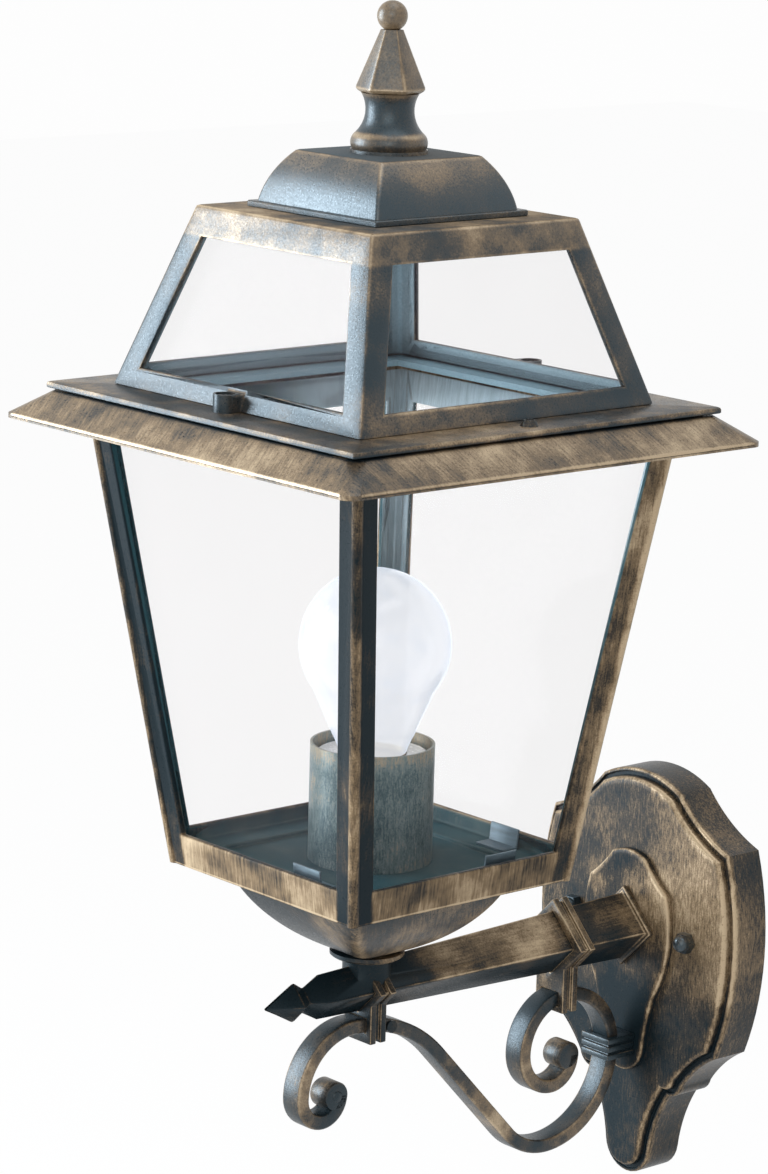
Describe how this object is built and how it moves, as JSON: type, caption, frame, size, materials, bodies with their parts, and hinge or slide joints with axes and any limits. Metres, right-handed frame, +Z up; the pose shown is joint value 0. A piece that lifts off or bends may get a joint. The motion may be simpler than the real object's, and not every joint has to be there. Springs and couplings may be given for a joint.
{
  "type": "outdoor wall light",
  "caption": "Square glazed coach lantern with a glazed roof and finial, standing on a scrolled bracket arm with a shield-shaped wall plate.",
  "frame": {"origin": "on the wall plane, midway between the two wall screw holes, level with the arm's axis", "axes": "+Z up, the lamp stands out from the wall along -Y, +Y into the wall, +X along the wall"},
  "size_m": [0.21, 0.273, 0.5022],
  "materials": {
    "antique_metal": "satin black with antique gold brushed over it",
    "clear_glass": "clear polished",
    "zinc_steel": "zinc plated",
    "slate_sleeve": "satin slate",
    "clip_steel": "plain satin",
    "white_holder": "glazed white",
    "opal_glass": "opal",
    "white_plastic": "matt",
    "black_rubber": "matt"
  },
  "bodies": {
    "root": {"finial": "antique_metal", "finial_washer": "antique_metal", "roof_cap": "antique_metal", "roof_frame": "antique_metal", "eave_plate": "antique_metal", "lantern_cage": "antique_metal", "bottom_bowl": "antique_metal", "neck_disc": "antique_metal", "arm_bar": "antique_metal", "scroll_bar": "antique_metal", "front_collar": "antique_metal", "rear_collar": "antique_metal", "wall_collar": "antique_metal", "scroll_rivet": "antique_metal", "plaque": "antique_metal", "wall_plate": "antique_metal", "acorn_nuts": "antique_metal", "eave_screws": "antique_metal", "roof_screws": "antique_metal", "body_pane_front": "clear_glass", "body_pane_right": "clear_glass", "body_pane_rear": "clear_glass", "body_pane_left": "clear_glass", "roof_pane_front": "clear_glass", "roof_pane_right": "clear_glass", "roof_pane_rear": "clear_glass", "roof_pane_left": "clear_glass", "mounting_strap": "zinc_steel", "strap_studs": "zinc_steel", "arm_screws": "zinc_steel", "threaded_tube": "zinc_steel", "tube_nut": "zinc_steel", "finial_stud": "zinc_steel", "finial_nut": "zinc_steel", "holder_sleeve": "slate_sleeve", "pane_clips": "clip_steel", "lampholder": "white_holder", "bulb": "opal_glass", "terminal_block": "white_plastic", "wire_grommet": "black_rubber"}
  },
  "joints": []
}
